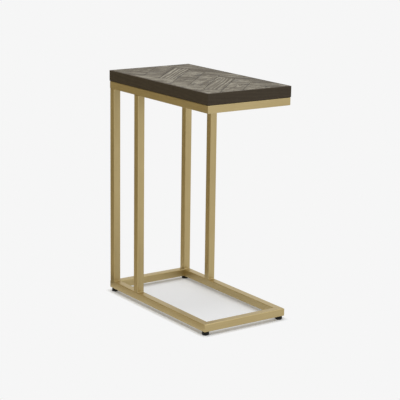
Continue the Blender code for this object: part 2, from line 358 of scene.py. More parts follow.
def cut_round_hole(piece, x, y, radius, low, high):
    """Cuts an upright round hole through the piece's mesh."""
    drill = bmesh.new()
    bmesh.ops.create_cone(drill, cap_ends=True, segments=NUT_HOLE_SIDES, radius1=radius, radius2=radius,
                          depth=high - low, matrix=Matrix.Translation((x, y, (low + high) / 2)))
    mesh = bpy.data.meshes.new("drill")
    drill.to_mesh(mesh)
    drill.free()
    cutter = add_object("drill", mesh)
    boolean = piece.modifiers.new("hole", "BOOLEAN")
    boolean.object = cutter
    cut = bpy.data.meshes.new_from_object(piece.evaluated_get(bpy.context.evaluated_depsgraph_get()))
    cut.name = piece.name
    piece.modifiers.remove(boolean)
    piece.data = cut
    bpy.data.objects.remove(cutter)
    cut.set_sharp_from_angle(angle=SHARP_EDGE)


def belong(piece, body, slot, *nodes):
    """The piece rides on a body and stands for these nodes, which are hidden; the slot is not used."""
    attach(piece, body)
    if nodes:
        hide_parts(*nodes)


def ring_of_tubes(prefix):
    """Four mitred tubes round the table, in place of the rails with this prefix."""
    low, high = box_of_sides(f"{prefix}_rail")
    middle = (low + high) / 2
    half = (high - low) / 2 - tube_side / 2
    for place, outwards in OUTWARDS.items():
        out = np.array(outwards, float)
        along = np.cross(UP, out)
        start = middle + half * (out - along)
        end = middle + half * (out + along)
        tube = square_tube(f"{prefix}_tube_{place}", start, end, out, mitred=True)
        if prefix == "base":
            for x, y in (start[:2], end[:2]):
                cut_round_hole(tube, x, y, NUT_HOLE_RADIUS, low[2] - TUBE_WALL, low[2] + 2 * TUBE_WALL)
        brush(tube, start, along, out)
        belong(tube, "table", "frame_gold", f"{prefix}_rail_{place}")


base_low, base_high = box_of_sides("base_rail")
tube_side = base_high[2] - base_low[2]
ring_of_tubes("base")

# Top ring: the same tube and the same mitres as the base ring. The wooden top sits on it, and the
# tabs that hold the top down are welded to its inner faces.
ring_of_tubes("top")
ring_bottom = box_of_sides("top_rail")[0][2]

# Uprights: four square tubes butted between the rings and welded all round, two at the rear corners
# and two further in. Their outer faces lie flush with the rails.
FORWARDS = np.array((1.0, 0.0, 0.0))
for row in ("rear", "inner"):
    for side in ("left", "right"):
        name = f"upright_{row}_{side}"
        low, high = box_round(name)
        x, y = (low + high)[:2] / 2
        foot = np.array((x, y, base_high[2]))
        head = np.array((x, y, ring_bottom))
        tube = square_tube(f"{name}_tube", foot, head, FORWARDS, mitred=False)
        brush(tube, foot, UP, FORWARDS)
        belong(tube, "table", "frame_gold", name)

# Welds: a small fillet of weld metal left in each inside corner where an upright stands on a rail,
# laid in short ripples and plated with the frame. On the flush sides it is ground away.
WELD_LEG = 0.0016
WELD_RIPPLE = 0.0018
WELD_SWELL = 0.10
WELD_END = 0.35
WELD_HOLLOW = 0.92
WELD_ROOT = -0.1
WELD_EDGE_HIGHLIGHT = 0.5
WELD_STATIONS = 61


def brush_plain(piece, highlight_share):
    """Lays the brushing along X over the whole piece, and gives all of it one share of the painted corner
    highlight.
    """
    points = points_of(piece)
    carry(piece, "grain", points)
    carry(piece, "edge", np.full(len(points), highlight_share))


def weld_fillet(name, middle, run, face, rise):
    """A concave quarter section carried along a short line in the corner between a face and a rise.

    The leg of the section swells a little with each ripple and tapers off at the two ends.
    """
    reach = tube_side / 2 - TUBE_RADIUS / 2
    place = np.linspace(-reach, reach, WELD_STATIONS)
    swell = 1 + WELD_SWELL * np.abs(np.sin(np.pi * place / WELD_RIPPLE))
    taper = WELD_END + (1 - WELD_END) * np.sqrt(np.clip(1 - (place / reach) ** 8, 0, 1))
    leg = WELD_LEG * swell * taper
    angle = np.radians(np.linspace(180, 270, 8))
    hollow = 1 + WELD_HOLLOW * np.stack((np.cos(angle), np.sin(angle)), axis=-1)
    section = np.concatenate(([[WELD_ROOT, WELD_ROOT], [WELD_ROOT, 1.0]], hollow, [[1.0, WELD_ROOT]]))
    offset = section[:, :1] * face + section[:, 1:] * rise
    rings = middle + place[:, None, None] * run + leg[:, None, None] * offset
    return skin(name, rings, satin_gold)


for row in ("rear", "inner"):
    for side, across in (("left", -1), ("right", 1)):
        low, high = box_round(f"upright_{row}_{side}")
        centre = (low + high) / 2 * (1, 1, 0)
        second = ("inside", (0, -across, 0)) if row == "rear" else ("back", (-1, 0, 0))
        for face_name, outwards in (("front", (1, 0, 0)), second):
            face = np.array(outwards, float)
            for level, height, rise in (("foot", base_high[2], UP), ("head", ring_bottom, -UP)):
                middle = centre + face * tube_side / 2 + UP * height
                weld_name = f"weld_{row}_{side}_{level}_{face_name}"
                weld = weld_fillet(weld_name, middle, np.cross(UP, face), face, rise)
                # Painted highlight: the whole weld takes half of the corners' paler gold.
                brush_plain(weld, WELD_EDGE_HIGHLIGHT)
                belong(weld, "table", "frame_gold")

# Rivet nuts: zinc-plated steel nuts pulled into a hole under each corner of the base ring. A thin
# flange stays outside, and the sleeve inside carries the thread of the foot.
CORNERS = ("front_left", "front_right", "rear_left", "rear_right")
THREAD_BORE = 0.0033
NUT_SLEEVE = 0.0045
NUT_EASE = 0.0002
NUT_FLANGE_GAP = 0.00005
NUT_STEPS = 64
ZINC_TONES = ((0.42, 0.42, 0.40), (0.62, 0.62, 0.60))
ZINC_ROUGHNESS = (0.30, 0.50)
ZINC_CLOUDS = ((260, 260, 260), 4)
ZINC_GRAIN = ((2600, 2600, 2600), 2)
ZINC_GRAIN_DEPTH = 0.000006


def object_place(tree):
    """Object coordinates, which are metres in the table's own frame."""
    return node(tree, "TexCoord").outputs["Object"]


def mottled_finish(name, tones, roughness, patches, grain, depth):
    """A finish that wavers between two tones and two roughnesses in patches, and its Principled shader.

    The patches and the grain of the bump are noises, given by their waves per metre and their detail.
    """
    made, tree, shader = new_material(name)
    place = object_place(tree)
    patch = noise(tree, place, *patches)
    colour = blended(tree, patch, *tones)
    dress(tree, shader, colour, between(tree, patch, *roughness), noise(tree, place, *grain), depth)
    return made, shader


# Zinc plating is a cool grey with faint clouds and no brushing.
zinc_plate, zinc_shader = mottled_finish("zinc_plate", ZINC_TONES, ZINC_ROUGHNESS, ZINC_CLOUDS,
                                         ZINC_GRAIN, ZINC_GRAIN_DEPTH)
zinc_shader.inputs["Metallic"].default_value = 1.0


def points_at(x, y, z):
    """Points from arrays of their three coordinates, each spread over the others' shape."""
    return np.stack(np.broadcast_arrays(x, y, z), axis=-1)


def swept_rings(centre, reach, height, steps):
    """Rings of points round an upright axis at even angles, each point at its reach and height."""
    angle = np.linspace(0, 2 * np.pi, steps, endpoint=False)
    return points_at(centre[0] + reach * np.cos(angle), centre[1] + reach * np.sin(angle), height)


def turned_rings(centre, profile, steps):
    """Rings of a shape of revolution: each (radius, height) of the profile swept round an upright axis."""
    radius, height = np.array(profile, float).T[..., None]
    return swept_rings(centre, radius, height, steps)


corner_centre = {}
for corner in CORNERS:
    low, high = box_round(f"foot_insert_{corner}")
    corner_centre[corner] = (low + high)[:2] / 2
    flange = (high[0] - low[0]) / 2
    flange_top = base_low[2] - NUT_FLANGE_GAP
    nut_profile = [
        (THREAD_BORE, high[2] - NUT_EASE),
        (THREAD_BORE + NUT_EASE, high[2]),
        (NUT_SLEEVE - NUT_EASE, high[2]),
        (NUT_SLEEVE, high[2] - NUT_EASE),
        (NUT_SLEEVE, flange_top),
        (flange - NUT_EASE, flange_top),
        (flange, flange_top - NUT_EASE),
        (flange - 2 * NUT_EASE, low[2]),
        (THREAD_BORE + NUT_EASE, low[2]),
        (THREAD_BORE, low[2] + NUT_EASE),
    ]
    nut_rings = turned_rings(corner_centre[corner], nut_profile, NUT_STEPS)
    nut = skin(f"rivet_nut_{corner}", nut_rings, zinc_plate, closed=True)
    belong(nut, "table", "zinc_hardware", f"foot_insert_{corner}")

# Foot studs: M6 steel screws, zinc plated, whose round heads are moulded into the pads. They screw
# into the rivet nuts, so the table can be levelled.
STUD_PITCH = 0.001
STUD_THREAD_DEPTH = 0.00055
STUD_RADIUS = 0.003
STUD_HEAD_HEIGHT = 0.0024
STUD_TIP = 0.0007
STUD_END_FLAT = 0.15
STUD_STEPS = 40
THREAD_FLANK = 1.25
THREAD_CREST = 0.1


def thread_rings(centre, low, high, radius, depth, pitch, steps, rings_per_turn):
    """Rings of a screw thread: the radius falls off as a triangle wave of height less turn.

    A point's wave place is its height in pitches less its share of a turn. The wave's crest and root
    are clipped flat, and the thread fades out over the last pitch at either end.
    """
    height = np.linspace(low, high, max(2, round((high - low) / pitch * rings_per_turn)))[:, None]
    turn = np.arange(steps) / steps
    wave = np.abs(((height - low) / pitch - turn) % 1 - 0.5) * 2
    fade = np.clip(np.minimum(height - low, high - height) / pitch, 0, 1)
    reach = radius - depth * np.clip(THREAD_FLANK * wave - THREAD_CREST, 0, 1) * fade
    return swept_rings(centre, reach, height, steps)


for corner, centre in corner_centre.items():
    low, high = box_round(f"foot_stud_{corner}")
    head_radius = (high[0] - low[0]) / 2
    head_top = low[2] + STUD_HEAD_HEIGHT
    head_profile = [
        (head_radius * STUD_END_FLAT, low[2]),
        (head_radius - NUT_EASE, low[2]),
        (head_radius, low[2] + NUT_EASE),
        (head_radius, head_top - NUT_EASE),
        (head_radius - NUT_EASE, head_top),
        (STUD_RADIUS + NUT_EASE, head_top),
    ]
    tip_profile = [(STUD_RADIUS - STUD_TIP, high[2]), (STUD_RADIUS * STUD_END_FLAT, high[2])]
    shank = thread_rings(centre, head_top + NUT_EASE, high[2] - STUD_TIP, STUD_RADIUS, STUD_THREAD_DEPTH,
                         STUD_PITCH, STUD_STEPS, rings_per_turn=12)
    stud_rings = np.concatenate((turned_rings(centre, head_profile, STUD_STEPS), shank,
                                 turned_rings(centre, tip_profile, STUD_STEPS)))
    stud = skin(f"threaded_stud_{corner}", stud_rings, zinc_plate)
    belong(stud, f"stud_{corner}", "zinc_hardware", f"foot_stud_{corner}")

# Foot pads: round glides moulded in black nylon over the heads of the studs. Each is a low drum with
# a rounded lower edge, a shallow moulding step above it and a dished underside.
PAD_FLOOR = 0.0025
PAD_EDGE = 0.002
PAD_STEP = 0.0004
PAD_DISH = 0.0003
PAD_END_FLAT = 0.1
PAD_STEPS = 72
SOCKET_CLEARANCE = 0.0003
NYLON_TONES = ((0.006, 0.0055, 0.005), (0.013, 0.012, 0.010))
NYLON_ROUGHNESS = (0.42, 0.62)
NYLON_PATCHES = ((180, 180, 180), 3)
NYLON_TEXTURE = ((5200, 5200, 5200), 2)
NYLON_TEXTURE_DEPTH = 0.00003

# Black nylon has a fine moulded texture and is dulled a little in patches.
black_nylon, nylon_shader = mottled_finish("black_nylon", NYLON_TONES, NYLON_ROUGHNESS, NYLON_PATCHES,
                                           NYLON_TEXTURE, NYLON_TEXTURE_DEPTH)
nylon_shader.inputs["Specular IOR Level"].default_value = 0.2


def arc(x, y, radius, first, last, steps=8):
    """Points of an arc about (x, y) between two angles in degrees, as a list of pairs."""
    angle = np.radians(np.linspace(first, last, steps + 1))
    return list(zip(x + radius * np.cos(angle), y + radius * np.sin(angle)))


for corner, centre in corner_centre.items():
    low, high = box_round(f"foot_pad_{corner}")
    radius = (high[0] - low[0]) / 2
    stud_low, stud_high = box_round(f"foot_stud_{corner}")
    socket = (stud_high[0] - stud_low[0]) / 2 + SOCKET_CLEARANCE
    socket_top = stud_low[2] + STUD_HEAD_HEIGHT + SOCKET_CLEARANCE
    pad_profile = [
        (socket * PAD_END_FLAT, PAD_FLOOR),
        (socket, PAD_FLOOR),
        (socket, socket_top),
        (THREAD_BORE, socket_top),
        (THREAD_BORE, high[2] - PAD_STEP / 2),
        (THREAD_BORE + PAD_STEP / 2, high[2]),
        *arc(radius - 3 * PAD_STEP, high[2] - PAD_STEP, PAD_STEP, 90, 0),
        (radius - 2 * PAD_STEP, high[2] - 3 * PAD_STEP),
        *arc(radius - PAD_STEP, high[2] - 4 * PAD_STEP, PAD_STEP, 90, 0),
        *arc(radius - PAD_EDGE, PAD_EDGE, PAD_EDGE, 0, -90),
        (radius - PAD_EDGE - 2 * PAD_DISH, 0),
        (radius - PAD_EDGE - 4 * PAD_DISH, PAD_DISH),
        (radius * PAD_END_FLAT, PAD_DISH),
    ]
    pad = skin(f"nylon_pad_{corner}", turned_rings(centre, pad_profile, PAD_STEPS), black_nylon)
    belong(pad, f"pad_{corner}", "foot_black", f"foot_pad_{corner}")

# Mounting tabs: four flat steel tabs with rounded corners and a screw hole, welded inside the top
# ring before it is plated. The top is pulled down onto the ring through them.
TAB_EASE = 0.0003
TAB_CORNER_POWER = 14
TAB_HOLE = 0.0026
TAB_STEPS = 144


def tab_with_hole(name, low, high):
    """A flat plate between a round hole and an outline that is a superellipse of the plate's box.

    At each angle the outline's reach is the power mean of the two half sizes, which gives straight
    sides and small round corners. Rings run up the hole, over the top, down the rim and back below:
    each is a share of the outline's reach plus an offset, at a height.
    """
    middle = (low + high) / 2
    half = (high - low) / 2
    angle = np.linspace(0, 2 * np.pi, TAB_STEPS, endpoint=False)
    x, y = np.abs(np.cos(angle) / half[0]), np.abs(np.sin(angle) / half[1])
    outline = (x ** TAB_CORNER_POWER + y ** TAB_CORNER_POWER) ** (-1 / TAB_CORNER_POWER)
    hole, ease, bottom, top = TAB_HOLE, TAB_EASE, low[2], high[2]
    levels = [
        (0, hole, bottom + ease), (0, hole, top - ease), (0, hole + ease, top), (1, -ease, top),
        (1, 0, top - ease), (1, 0, bottom + ease), (1, -ease, bottom), (0, hole + ease, bottom),
    ]
    share, offset, height = np.array(levels).T[..., None]
    rings = swept_rings(middle, share * outline + offset, height, TAB_STEPS)
    return skin(name, rings, satin_gold, closed=True)


for corner in CORNERS:
    tab = tab_with_hole(f"steel_tab_{corner}", *box_round(f"mounting_tab_{corner}"))
    brush_plain(tab, highlight_share=0)
    belong(tab, "table", "frame_gold", f"mounting_tab_{corner}")

# Core board: wood-fibre board that carries the top, closed in by its veneers and its lipping. Only
# its pilot holes would show with the screws out.
BOARD_TONES = ((0.20, 0.14, 0.085), (0.40, 0.30, 0.20))
BOARD_ROUGHNESS = (0.75, 0.9)
BOARD_FIBRES = ((420, 420, 1600), 5, 0.7)
BOARD_FIBRE_DEPTH = 0.00005


def finish_node(name, finish):
    """Gives a node that keeps its own shape this finish."""
    materials = frame["nodes"][name].data.materials
    materials.clear()
    materials.append(finish)


# Raw fibre board is made of short pale and dark fibres, pressed flat.
fibre_board, _ = mottled_finish("fibre_board", BOARD_TONES, BOARD_ROUGHNESS, BOARD_FIBRES, BOARD_FIBRES,
                                BOARD_FIBRE_DEPTH)
finish_node("top_core", fibre_board)

# Balancing veneer: one plain sheet of oak veneer glued under the core so that the top stays flat,
# stained dark like the edges. It is what shows from below, inside the top ring.
YEAR_RING = 0.009
LOG_LEAN = 0.07
GRAIN_WANDER = 0.014
YEAR_FADE = (0.22, 0.5)
# Waves per metre along, across and through the grain, and the noise's range that runs from 0 to 1.
OAK_WAVES = {"wander": (8, 55, 55), "fade": (11, 16, 16), "streak": (7, 170, 110), "line": (4, 520, 120),
             "pore": (75, 2300, 900), "mark": (16, 300, 120), "fleck": (95, 20, 20)}
OAK_RANGE = {"fade": (0.38, 0.58), "streak": (0.30, 0.70), "pore": (0.57, 0.68), "mark": (0.57, 0.66),
             "fleck": (0.30, 0.70)}
STAIN_DARK = (0.0372, 0.0268, 0.0156)
STAIN_LIGHT = (0.0627, 0.0472, 0.0293)
STAIN_PORE = (0.018, 0.012, 0.008)
STAIN_ROUGHNESS = (0.48, 0.62)
STAIN_PORE_DEPTH = 0.00003
PORE_SHARE = 0.45


def oak_group():
    """Oak grain along X of the vector, in metres, as sawn from a log whose axis leans a little.

    Year rings repeat with the distance from the log's axis, which a slow noise moves to and fro, and
    fade in and out along the strip. Streaks, fine lines, open pores and dark marks follow the same
    place, and the flecks of the rays lie across the grain.
    """
    group, vector, output = new_group("oak_grain", ("Year", "Streak", "Line", "Pore", "Mark", "Fleck"))

    def ranged(name, place, **settings):
        """The noise of this name, run from 0 to 1 over its range."""
        return climb(group, noise(group, place, OAK_WAVES[name], **settings), *OAK_RANGE[name])

    wander = maths(group, "SUBTRACT", noise(group, vector, OAK_WAVES["wander"]), 0.5)
    place = node(group, "SeparateXYZ", {0: vector}).outputs
    depth = maths(group, "ADD", place["Z"], scaled(group, place["X"], LOG_LEAN))
    across = node(group, "CombineXYZ", {"Y": place["Y"], "Z": depth}).outputs[0]
    reach = vector_maths(group, "LENGTH", across)
    reach = maths(group, "ADD", reach, scaled(group, wander, GRAIN_WANDER))
    moved = node(group, "CombineXYZ", {"X": place["X"], "Y": reach, "Z": place["Z"]}).outputs[0]
    year = maths(group, "SINE", scaled(group, reach, 2 * math.pi / YEAR_RING))
    year = scaled(group, year, between(group, ranged("fade", vector), *YEAR_FADE))
    values = {
        "Year": maths(group, "ADD", year, 0.5),
        "Streak": ranged("streak", moved, detail=4, roughness=0.6),
        "Line": noise(group, moved, OAK_WAVES["line"], detail=3, roughness=0.6),
        "Pore": ranged("pore", moved, detail=1),
        "Mark": ranged("mark", moved),
        "Fleck": ranged("fleck", vector, detail=4, roughness=0.6),
    }
    for name, value in values.items():
        group.links.new(value, output.inputs[name])
    return group


oak_grain = oak_group()


def stained_oak_finish(name, vector_of):
    """Dark stained oak: brown rings and lines of low contrast, with black pores under a matt lacquer."""
    made, tree, shader = new_material(name)
    grain = place_group(tree, oak_grain, vector_of(tree))
    figure = summed(tree, (grain["Year"], 0.3), (grain["Line"], 0.7))
    colour = blended(tree, figure, STAIN_DARK, STAIN_LIGHT)
    colour = blended(tree, scaled(tree, grain["Pore"], PORE_SHARE), colour, STAIN_PORE)
    height = maths(tree, "SUBTRACT", grain["Line"], grain["Pore"])
    shader.inputs["Specular IOR Level"].default_value = 0.15
    dress(tree, shader, colour, between(tree, grain["Fleck"], *STAIN_ROUGHNESS), height, STAIN_PORE_DEPTH)
    return made


finish_node("balancing_veneer", stained_oak_finish("backing_oak", object_place))

# Lipping: four solid oak edges glued round the core and mitred at the corners, stained dark brown.
# Their outer edges are eased by hand and the top's upright corners are rounded off.
LIPPING_WIDTH = 0.006
LIPPING_EASE = 0.0012
LIPPING_CORNER = 0.002
LIPPING_INNER_CORNER = 0.0002
LIPPING_GLUE = 0.00003
LIPPING_GRAIN_STEP = 0.61


def lipping(name, half_length, half_depth, out, bottom, top):
    """An eased section carried along one side of the top, from mitre to mitre.

    A section point at some depth behind the outer face runs along the top's outline moved in by that
    depth, whose corner is an arc of what is left of the corner's radius. Each end stops half way
    round the arc, where depth and distance from the corner are equal: the mitre.
    """
    ease, back = LIPPING_EASE, LIPPING_WIDTH
    hold = CORNER_HOLD * ease
    section = [(back, bottom), (ease + hold, bottom)]
    section += arc(ease, bottom + ease, ease, 270, 180)
    section += [(0, bottom + ease + hold), (0, top - ease - hold)]
    section += arc(ease, top - ease, ease, 180, 90)
    section += [(ease + hold, top), (back, top)]
    depth, height = np.array(section).T
    radius = np.maximum(LIPPING_CORNER - depth, LIPPING_INNER_CORNER)
    centre = depth + radius
    turn = np.radians(np.linspace(45, 0, 7))[:, None]
    start = centre - radius * np.sin(turn) + LIPPING_GLUE - half_length
    inset = centre - radius * np.cos(turn)
    along = np.concatenate((start, -start[::-1]))
    outwards = half_depth - np.concatenate((inset, inset[::-1]))
    run = np.cross(UP, out)
    rings = along[..., None] * run + outwards[..., None] * out
    rings[..., 2] = height
    piece = skin(name, rings, stained_oak)
    local = points_at(along + grain_shift(LIPPING_GRAIN_STEP), outwards, height)
    carry(piece, "grain", local.reshape(-1, 3))
    return piece


top_low, top_high = box_of_sides("lipping")
stained_oak = stained_oak_finish("stained_oak", along_grain)
for place, outwards in OUTWARDS.items():
    out = np.array(outwards, float)
    half_depth = abs(out @ top_high)
    half_length = abs(np.cross(UP, out) @ top_high)
    edge = lipping(f"oak_edge_{place}", half_length, half_depth, out, top_low[2], top_high[2])
    belong(edge, "table", "edge_oak", f"lipping_{place}")

# Face: herringbone of rustic oak strips laid at 45 degrees on a thin backing sheet, with eased edges
# and dark joints, then weathered grey-brown and oiled. The field is cut to fit inside the lipping.
STRIP_WIDTH = 0.047
STRIP_RATIO = 4
STRIP_JOINT = 0.0005
STRIP_EASE = 0.0005
STRIP_STAIN = 0.0022
STRIP_THICKNESS = 0.0012
STRIP_SHARP_EDGE = math.radians(20)
PATTERN_X = -0.0245
PATTERN_Y = -0.009
ROWS_EACH_WAY = 3
COLUMNS_EACH_WAY = 10
FIELD_GAP = 0.0001
SHEET_THICKNESS = 0.0013
SHEET_CORNER = 0.0005
WEATHERED = ((0.10, (0.048, 0.036, 0.018)), (0.5, (0.118, 0.101, 0.070)), (0.90, (0.240, 0.219, 0.170)))
WEATHERED_DARK = (0.026, 0.020, 0.014)
WEATHERED_ROUGHNESS = (0.52, 0.66)
WEATHERED_PORE_DEPTH = 0.00010
PORE_DULLNESS = 0.2
MARK_SHARE = 0.7
LINE_SHARE = 1.5
LINE_HEIGHT = 0.6
# Shares of the year rings, the streaks and the flecks in the figure of each kind of strip.
RINGED = (1.1, 0.4, 0.3)
FLECKED = (0.15, 0.45, 1.15)
STREAKED = (0.2, 1.25, 0.2)
# Each strip's own draw: its tone, how dark its joints are, and where in the log its grain starts. The tone
# also carries a painted sheen, lighter towards the left side and darker towards the right, and is darker on
# the rear strips.
STRIP_SEED = 7
BOLD_LINES = (-0.0707, 0.0703)
REAR_STRIPS = -0.15
REAR_DARKENING = 0.18
TONE_LOWEST = 0.42
TONE_SPREAD = 0.06
PAINTED_SHEEN_ACROSS = 0.5
JOINT_LOWEST = 0.2
JOINT_SPREAD = 0.45
JOINT_BOLD = 0.5
GRAIN_LOWEST = (0, -0.02, 0.03)
GRAIN_SPREAD = (3.0, 0.12, 0.10)
GRAIN_BOLD = (0.10, 0.03)


def ramp(tree, value, stops):
    """The colour of a ramp that runs through these stops, each a value and its colour."""
    made = node(tree, "ValToRGB", {"Fac": value})
    elements = made.color_ramp.elements
    elements[0].position, elements[1].position = stops[0][0], stops[-1][0]
    for position, _ in stops[1:-1]:
        elements.new(position)
    for element, (_, colour) in zip(elements, stops):
        element.color = (*colour, 1)
    return made.outputs["Color"]


def weathered_oak_finish():
    """Grey-brown rustic oak under a matt oil.

    Each strip has its own tone, with a painted sheen that lightens the left side of the top and shades its
    right side, its own shares of rings, streaks and flecks and its own darkness at the joints. Fine lines,
    open pores and dark marks are the same in kind on all of them.
    """
    made, tree, shader = new_material("weathered_oak")
    grain = place_group(tree, oak_grain, along_grain(tree))
    shares = node(tree, "SeparateXYZ", {0: attribute(tree, "figure", "Vector")}).outputs
    figure = attribute(tree, "tone")
    parts = {"Year": shares["X"], "Streak": shares["Y"], "Fleck": shares["Z"], "Line": LINE_SHARE}
    for name, share in parts.items():
        swing = maths(tree, "SUBTRACT", grain[name], 0.5)
        figure = maths(tree, "ADD", figure, scaled(tree, swing, share))
    colour = ramp(tree, figure, WEATHERED)
    joint = scaled(tree, attribute(tree, "edge"), attribute(tree, "joint"))
    for dark in (scaled(tree, grain["Pore"], PORE_SHARE), scaled(tree, grain["Mark"], MARK_SHARE), joint):
        colour = blended(tree, dark, colour, WEATHERED_DARK)
    roughness = maths(tree, "ADD", between(tree, grain["Line"], *WEATHERED_ROUGHNESS),
                      scaled(tree, grain["Pore"], PORE_DULLNESS), clamp=True)
    height = maths(tree, "SUBTRACT", scaled(tree, grain["Line"], LINE_HEIGHT), grain["Pore"])
    shader.inputs["Specular IOR Level"].default_value = 0.3
    dress(tree, shader, colour, roughness, height, WEATHERED_PORE_DEPTH)
    return made


def herringbone():
    """Centre and lean of the strips that may reach the field.

    Strips of a row lie side by side at 45 degrees, so they repeat along X at their width times the
    root of two. The next row leans the other way, half a repeat along and half a strip's diagonal
    length across, so that each strip's end butts on the side of another.
    """
    half_repeat = STRIP_WIDTH / math.sqrt(2)
    pitch = STRIP_RATIO * half_repeat
    rows = np.arange(-ROWS_EACH_WAY, ROWS_EACH_WAY + 1)
    columns = np.arange(-COLUMNS_EACH_WAY, COLUMNS_EACH_WAY + 1)
    row, column = np.meshgrid(rows, columns, indexing="ij")
    x = PATTERN_X + (2 * column + row % 2) * half_repeat
    y = PATTERN_Y + row * pitch
    lean = np.where(row % 2 == 1, math.pi / 4, -math.pi / 4)
    reach = (pitch + half_repeat) / 2
    used = (np.abs(x) < field_half[0] + reach) & (np.abs(y) < field_half[1] + reach)
    return x[used], y[used], lean[used]


def strip_rings():
    """Rings of one strip along X about the origin, top face at height 0, and how stained each point is.

    The ring at each station is the section across the strip, with eased upper edges; the two end
    rings are lowered by the ease, as the long edges are. The stain fades out a little way in.
    """
    half_length = (STRIP_WIDTH * STRIP_RATIO - STRIP_JOINT) / 2
    half_width = (STRIP_WIDTH - STRIP_JOINT) / 2
    ease, bottom = STRIP_EASE, -STRIP_THICKNESS
    inset = np.array((0, ease, STRIP_STAIN))
    across = np.concatenate(([-half_width], inset - half_width, half_width - inset[::-1], [half_width]))
    station = np.concatenate((inset - half_length, half_length - inset[::-1]))
    station = station[:, None]
    height = np.array((bottom, -ease, 0, 0, 0, 0, -ease, bottom))
    height = np.minimum(height, -ease * (np.abs(station) == half_length))
    depth = np.minimum(half_length - np.abs(station), half_width - np.abs(across))
    return points_at(station, across, height), np.clip(1 - depth / STRIP_STAIN, 0, 1) ** 2


face_low, face_high = box_round("face_veneer")
field_half = face_high[:2]
strip_x, strip_y, strip_lean = herringbone()
strip_count = len(strip_x)
one_strip, one_edge = strip_rings()
flat = one_strip.reshape(-1, 3)
x, y, z = flat.T
cosine, sine = np.cos(strip_lean)[:, None], np.sin(strip_lean)[:, None]
strip_points = points_at(strip_x[:, None] + cosine * x - sine * y, strip_y[:, None] + sine * x + cosine * y,
                         face_high[2] + z)

draw = np.random.default_rng(STRIP_SEED)
from_bold = np.abs(((strip_x + strip_y) / math.sqrt(2))[:, None] - BOLD_LINES).min(axis=1)
bold = (strip_lean < 0) & (from_bold < STRIP_WIDTH / 2)
# Painted sheen: the tone falls from the left side of the top to its right side.
strip_tone_and_sheen = TONE_LOWEST + TONE_SPREAD * draw.random(strip_count) - PAINTED_SHEEN_ACROSS * strip_y
strip_tone_and_sheen -= REAR_DARKENING * (strip_x < REAR_STRIPS)
strip_joint = JOINT_LOWEST + JOINT_SPREAD * draw.random(strip_count) + JOINT_BOLD * bold
strip_figure = np.where(bold[:, None], RINGED, np.where(strip_lean[:, None] < 0, FLECKED, STREAKED))
strip_start = draw.random((strip_count, 3)) * GRAIN_SPREAD + GRAIN_LOWEST
strip_start[bold, 1:] = GRAIN_BOLD
strip_grain = flat[None] + strip_start[:, None]


def strips_mesh():
    """All the strips as one mesh: the faces of one strip, repeated with each strip's own points."""
    count, around = one_strip.shape[:2]
    first = np.arange(strip_count)[:, None, None] * len(flat)
    sides = (first + ring_quads(count, around, closed=False)).reshape(-1, 4)
    ends = (first + ring_ends(count, around)).reshape(-1, around)
    return mesh_of("face_strips", strip_points, sides.tolist() + ends.tolist())


def trim_to_field(piece, half):
    """Cuts the piece off along the four sides of a rectangle, and closes the cuts."""
    shape = bmesh.new()
    shape.from_mesh(piece.data)
    for place in ("rear", "front", "left", "right"):
        side = np.array(OUTWARDS[place])
        everything = shape.verts[:] + shape.edges[:] + shape.faces[:]
        cut = bmesh.ops.bisect_plane(shape, geom=everything, plane_co=side * (*half, 0), plane_no=side,
                                     clear_outer=True, dist=1e-7)
        rim = [part for part in cut["geom_cut"] if isinstance(part, bmesh.types.BMEdge)]
        bmesh.ops.holes_fill(shape, edges=rim, sides=0)
    bmesh.ops.recalc_face_normals(shape, faces=shape.faces)
    shape.to_mesh(piece.data)
    shape.free()
    piece.data.set_sharp_from_angle(angle=STRIP_SHARP_EDGE)


strips = piece_from("face_strips", strips_mesh(), weathered_oak_finish())
carry(strips, "grain", strip_grain.reshape(-1, 3))
carry(strips, "tone", np.repeat(strip_tone_and_sheen, len(flat)))
carry(strips, "joint", np.repeat(strip_joint, len(flat)))
carry(strips, "figure", np.repeat(strip_figure, len(flat), axis=0))
carry(strips, "edge", np.tile(one_edge.ravel(), strip_count))
trim_to_field(strips, field_half - FIELD_GAP)
belong(strips, "table", "face_oak", "face_veneer")

x, y = rounded_loop(2 * field_half[0], 2 * field_half[1], SHEET_CORNER, steps=2).T
sheet_rings = points_at(x, y, face_low[2] + np.array(((0,), (SHEET_THICKNESS,))))
sheet = skin("face_backing_sheet", sheet_rings, stained_oak)
carry(sheet, "grain", points_of(sheet))
belong(sheet, "table", "edge_oak")

# Top screws: four zinc-plated pan-head wood screws with a cross recess, driven up through the tabs
# into the core, which they pull down onto the top ring.
SCREW_RADIUS = 0.002
SCREW_CORE_DEPTH = 0.0005
SCREW_PITCH = 0.0018
SCREW_POINT = 0.004
SCREW_POINT_RADIUS = 0.0001
SCREW_SHOULDER = 0.0028
SCREW_SHOULDER_RADIUS = 0.0015
SCREW_HEAD_HEIGHT = 0.0026
SCREW_HEAD_CROWN = 0.0012
SCREW_HEAD_RIM = 0.0014
SCREW_HEAD_SHARES = ((0.06, 0.66, 20), (0.72, 0.94, 5))
SCREW_STEPS = 64
RECESS_ARM = 0.0021
RECESS_WIDTH = 0.0006
RECESS_DEPTH = 0.0013
RECESS_WALL = 0.35
RECESS_RUN = 0.5


